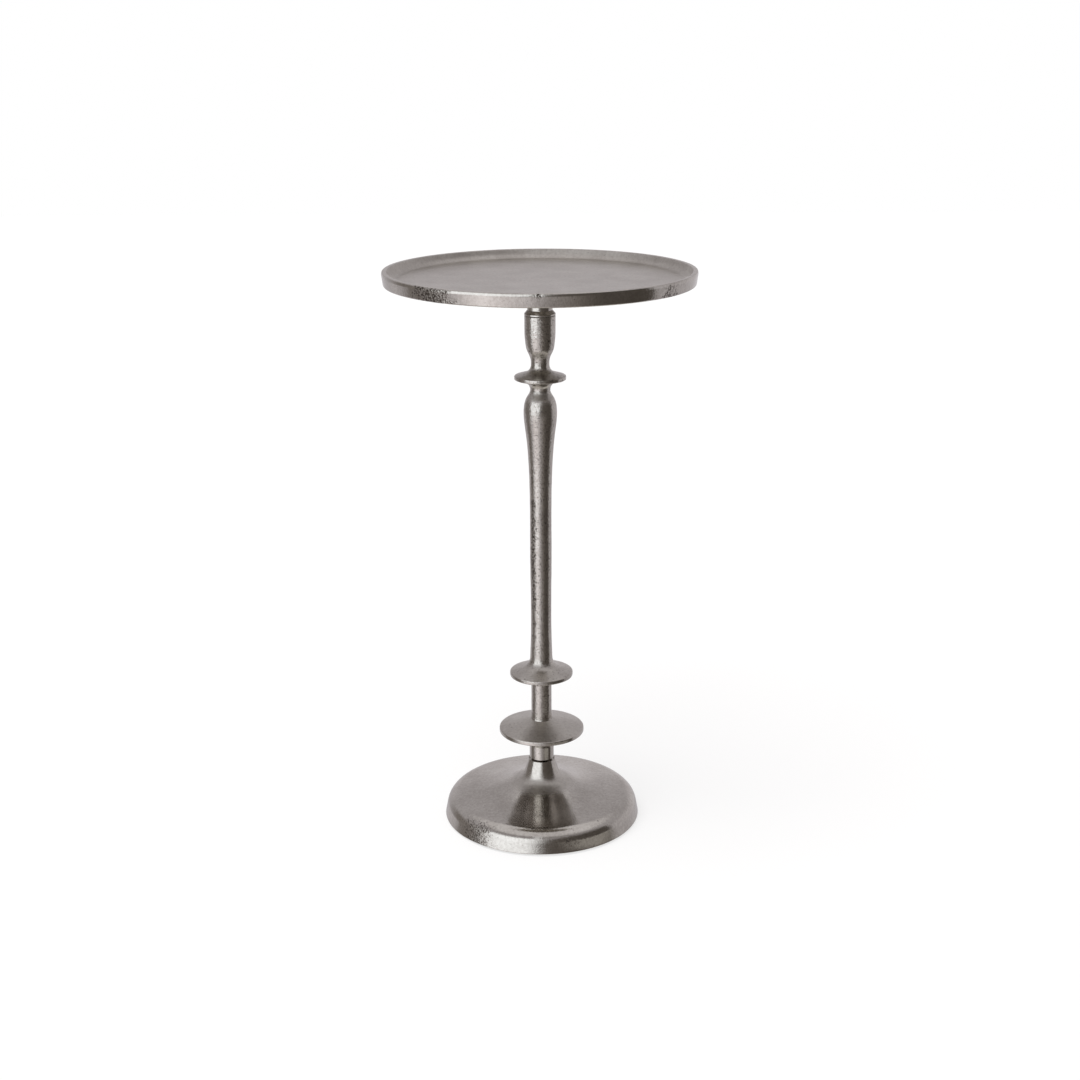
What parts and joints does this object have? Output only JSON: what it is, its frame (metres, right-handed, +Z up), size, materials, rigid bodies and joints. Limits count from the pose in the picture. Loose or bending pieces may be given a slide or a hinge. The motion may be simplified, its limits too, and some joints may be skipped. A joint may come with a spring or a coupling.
{
  "type": "wine table",
  "caption": "Small round pedestal side table: a shallow rimmed tray on a slim turned stem with discs, over a domed round base; cast aluminium with a nickel finish.",
  "frame": {"origin": "on the floor, under the middle of the base", "axes": "+Z up along the stem, -Y towards the viewer of the picture, +X to the viewer's right"},
  "size_m": [0.3198, 0.3198, 0.6038],
  "materials": {
    "cast_metal": "polished raw nickel over sand casting",
    "fastener_steel": "zinc plated",
    "pad_felt": "pressed felt"
  },
  "bodies": {
    "root": {"tray": "cast_metal", "tray_neck": "cast_metal", "stem_finial": "cast_metal", "stem_column": "cast_metal", "lower_disc": "cast_metal", "base": "cast_metal", "tray_stud": "fastener_steel", "neck_stud": "fastener_steel", "base_stud": "fastener_steel", "base_washer": "fastener_steel", "spring_washer": "fastener_steel", "base_nut": "fastener_steel", "floor_pad_1": "pad_felt", "floor_pad_2": "pad_felt", "floor_pad_3": "pad_felt", "floor_pad_4": "pad_felt"}
  },
  "joints": []
}
